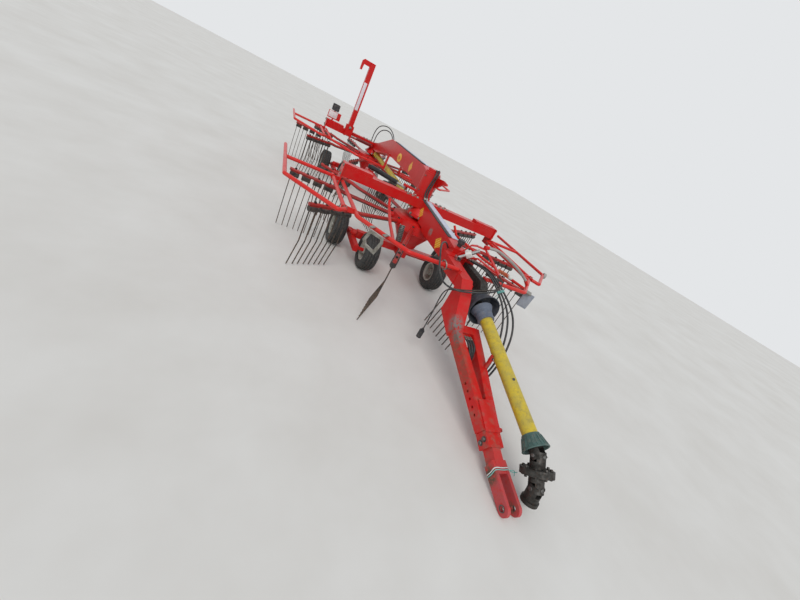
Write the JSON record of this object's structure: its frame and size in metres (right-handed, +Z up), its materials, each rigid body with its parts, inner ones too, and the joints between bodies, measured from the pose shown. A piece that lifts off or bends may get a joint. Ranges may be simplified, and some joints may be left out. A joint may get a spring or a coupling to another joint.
{
  "type": "rotary rake",
  "caption": "Trailed rotary rake with two rotors in line, drawbar with hitch lugs, folding guards and a folding mast.",
  "frame": {"origin": "on the ground under the middle of the machine", "axes": "+Y to the rear, the hitch is at the -Y end, +Z up"},
  "size_m": [3.174, 7.581, 2.0199],
  "materials": {
    "red_paint": "gloss",
    "bare_steel": "worn",
    "tine_steel": "worn",
    "dark_metal": "satin",
    "black_plastic": "matte",
    "grey_plastic": "matte",
    "yellow_plastic": "matte",
    "chrome_rod": "polished",
    "hose_rubber": "satin",
    "rope_fibre": "matte",
    "tyre_rubber": "dusty",
    "rim_paint": "dusty"
  },
  "bodies": {
    "front_frame": {"drawbar": "red_paint", "hitch_clevis": "red_paint", "front_beam": "red_paint", "input_gearbox": "dark_metal", "gearbox_bell": "black_plastic", "front_channel": "red_paint", "front_guard": "red_paint", "front_gearbox": "red_paint", "front_chassis": "red_paint", "valve_knob": "black_plastic", "hose_bracket": "red_paint", "levelling_jack": "bare_steel", "hose_1": "hose_rubber", "hose_2": "hose_rubber", "hose_3": "hose_rubber", "conduit": "grey_plastic", "light_lead": "grey_plastic", "lead_plug": "black_plastic", "rope": "rope_fibre"},
    "pto_shaft": {"pto_guard": "yellow_plastic", "pto_sleeve": "grey_plastic", "pto_collar": "black_plastic", "pto_yokes": "dark_metal"},
    "rear_frame": {"rear_beam": "red_paint", "rear_channel": "red_paint", "rear_guard": "red_paint", "rear_gearbox": "red_paint", "rear_chassis": "red_paint", "rear_drive_shaft": "yellow_plastic", "rear_drive_joint": "dark_metal", "lamp": "black_plastic"},
    "swing_barrel": {"swing_barrel": "red_paint"},
    "swing_rod": {"swing_rod": "chrome_rod"},
    "mast": {"mast": "red_paint"},
    "mast_barrel": {"mast_barrel": "red_paint"},
    "mast_rod": {"mast_rod": "chrome_rod"},
    "front_rotor": {"front_hub": "red_paint", "front_tine_arms": "tine_steel"},
    "rear_rotor": {"rear_hub": "red_paint", "rear_tine_arms": "tine_steel"},
    "front_loop_left": {"front_loop_left": "red_paint"},
    "front_loop_right": {"front_loop_right": "red_paint"},
    "rear_loop_left": {"rear_loop_left": "red_paint"},
    "rear_loop_right": {"rear_loop_right": "red_paint"},
    "front_wheel_inner_left": {"front_tyre_inner_left": "tyre_rubber", "front_rim_inner_left": "rim_paint"},
    "front_wheel_outer_left": {"front_tyre_outer_left": "tyre_rubber", "front_rim_outer_left": "rim_paint"},
    "front_wheel_inner_right": {"front_tyre_inner_right": "tyre_rubber", "front_rim_inner_right": "rim_paint"},
    "front_wheel_outer_right": {"front_tyre_outer_right": "tyre_rubber", "front_rim_outer_right": "rim_paint"},
    "rear_wheel_inner_left": {"rear_tyre_inner_left": "tyre_rubber", "rear_rim_inner_left": "rim_paint"},
    "rear_wheel_outer_left": {"rear_tyre_outer_left": "tyre_rubber", "rear_rim_outer_left": "rim_paint"},
    "rear_wheel_inner_right": {"rear_tyre_inner_right": "tyre_rubber", "rear_rim_inner_right": "rim_paint"},
    "rear_wheel_outer_right": {"rear_tyre_outer_right": "tyre_rubber", "rear_rim_outer_right": "rim_paint"}
  },
  "joints": [
    {"name": "swing", "type": "hinge", "parent": "front_frame", "child": "rear_frame", "pos_m": [-0.06, -0.7465, 1], "axis": [0, 0, 1], "range_deg": [0, 40]},
    {"name": "swing_barrel_pin", "type": "hinge", "parent": "front_frame", "child": "swing_barrel", "pos_m": [-0.62, -0.2865, 0.917], "axis": [0, 0, 1], "range_deg": [-12, 1]},
    {"name": "swing_rod_slide", "type": "slide", "parent": "swing_barrel", "child": "swing_rod", "axis": [0.7071, -0.7071, 0], "range_m": [0, 0.11]},
    {"name": "front_loop_left_fold", "type": "hinge", "parent": "front_frame", "child": "front_loop_left", "pos_m": [-1.105, -0.9265, 0.787], "axis": [0, 1, 0], "range_deg": [0, 90]},
    {"name": "front_loop_right_fold", "type": "hinge", "parent": "front_frame", "child": "front_loop_right", "pos_m": [0.985, -0.9265, 0.787], "axis": [0, -1, 0], "range_deg": [0, 90]},
    {"name": "rear_loop_left_fold", "type": "hinge", "parent": "rear_frame", "child": "rear_loop_left", "pos_m": [-0.985, 2.3735, 0.787], "axis": [0, 1, 0], "range_deg": [0, 90]},
    {"name": "rear_loop_right_fold", "type": "hinge", "parent": "rear_frame", "child": "rear_loop_right", "pos_m": [1.105, 2.3735, 0.787], "axis": [0, -1, 0], "range_deg": [0, 90]},
    {"name": "mast_fold", "type": "hinge", "parent": "rear_frame", "child": "mast", "pos_m": [-0.53, 2.2635, 0.985], "axis": [0, -1, 0], "range_deg": [0, 90]},
    {"name": "mast_barrel_pin", "type": "hinge", "parent": "rear_frame", "child": "mast_barrel", "pos_m": [-0.055, 2.2635, 0.87], "axis": [0, 1, 0], "range_deg": [-1, 20]},
    {"name": "mast_rod_slide", "type": "slide", "parent": "mast_barrel", "child": "mast_rod", "axis": [-0.9999, 0, -0.0105], "range_m": [-0.11, 0]},
    {"name": "pto_lift", "type": "hinge", "parent": "front_frame", "child": "pto_shaft", "pos_m": [0.058, -2.4665, 0.612], "axis": [-1, 0, 0], "range_deg": [0, 15]},
    {"name": "front_rotor_spin", "type": "hinge", "parent": "front_frame", "child": "front_rotor", "pos_m": [-0.06, -0.9265, 0.5], "axis": [0, 0, 1], "continuous": true},
    {"name": "rear_rotor_spin", "type": "hinge", "parent": "rear_frame", "child": "rear_rotor", "pos_m": [0.06, 2.3735, 0.5], "axis": [0, 0, 1], "continuous": true},
    {"name": "front_wheel_inner_left_spin", "type": "hinge", "parent": "front_frame", "child": "front_wheel_inner_left", "pos_m": [-0.496, -1.0825, 0.203], "axis": [1, 0, 0], "continuous": true},
    {"name": "front_wheel_outer_left_spin", "type": "hinge", "parent": "front_frame", "child": "front_wheel_outer_left", "pos_m": [-0.8, -0.6265, 0.203], "axis": [1, 0, 0], "continuous": true},
    {"name": "front_wheel_inner_right_spin", "type": "hinge", "parent": "front_frame", "child": "front_wheel_inner_right", "pos_m": [0.376, -1.0825, 0.203], "axis": [1, 0, 0], "continuous": true},
    {"name": "front_wheel_outer_right_spin", "type": "hinge", "parent": "front_frame", "child": "front_wheel_outer_right", "pos_m": [0.68, -0.6265, 0.203], "axis": [1, 0, 0], "continuous": true},
    {"name": "rear_wheel_inner_left_spin", "type": "hinge", "parent": "rear_frame", "child": "rear_wheel_inner_left", "pos_m": [-0.376, 2.2175, 0.203], "axis": [1, 0, 0], "continuous": true},
    {"name": "rear_wheel_outer_left_spin", "type": "hinge", "parent": "rear_frame", "child": "rear_wheel_outer_left", "pos_m": [-0.68, 2.6735, 0.203], "axis": [1, 0, 0], "continuous": true},
    {"name": "rear_wheel_inner_right_spin", "type": "hinge", "parent": "rear_frame", "child": "rear_wheel_inner_right", "pos_m": [0.496, 2.2175, 0.203], "axis": [1, 0, 0], "continuous": true},
    {"name": "rear_wheel_outer_right_spin", "type": "hinge", "parent": "rear_frame", "child": "rear_wheel_outer_right", "pos_m": [0.8, 2.6735, 0.203], "axis": [1, 0, 0], "continuous": true}
  ],
  "couplings": [
    {"joint": "swing_barrel_pin", "follows": "swing", "ratio": -0.2551},
    {"joint": "swing_rod_slide", "follows": "swing", "m_per_rad": 0.1456},
    {"joint": "mast_barrel_pin", "follows": "mast_fold", "ratio": 0.2061},
    {"joint": "mast_rod_slide", "follows": "mast_fold", "m_per_rad": -0.0648}
  ]
}
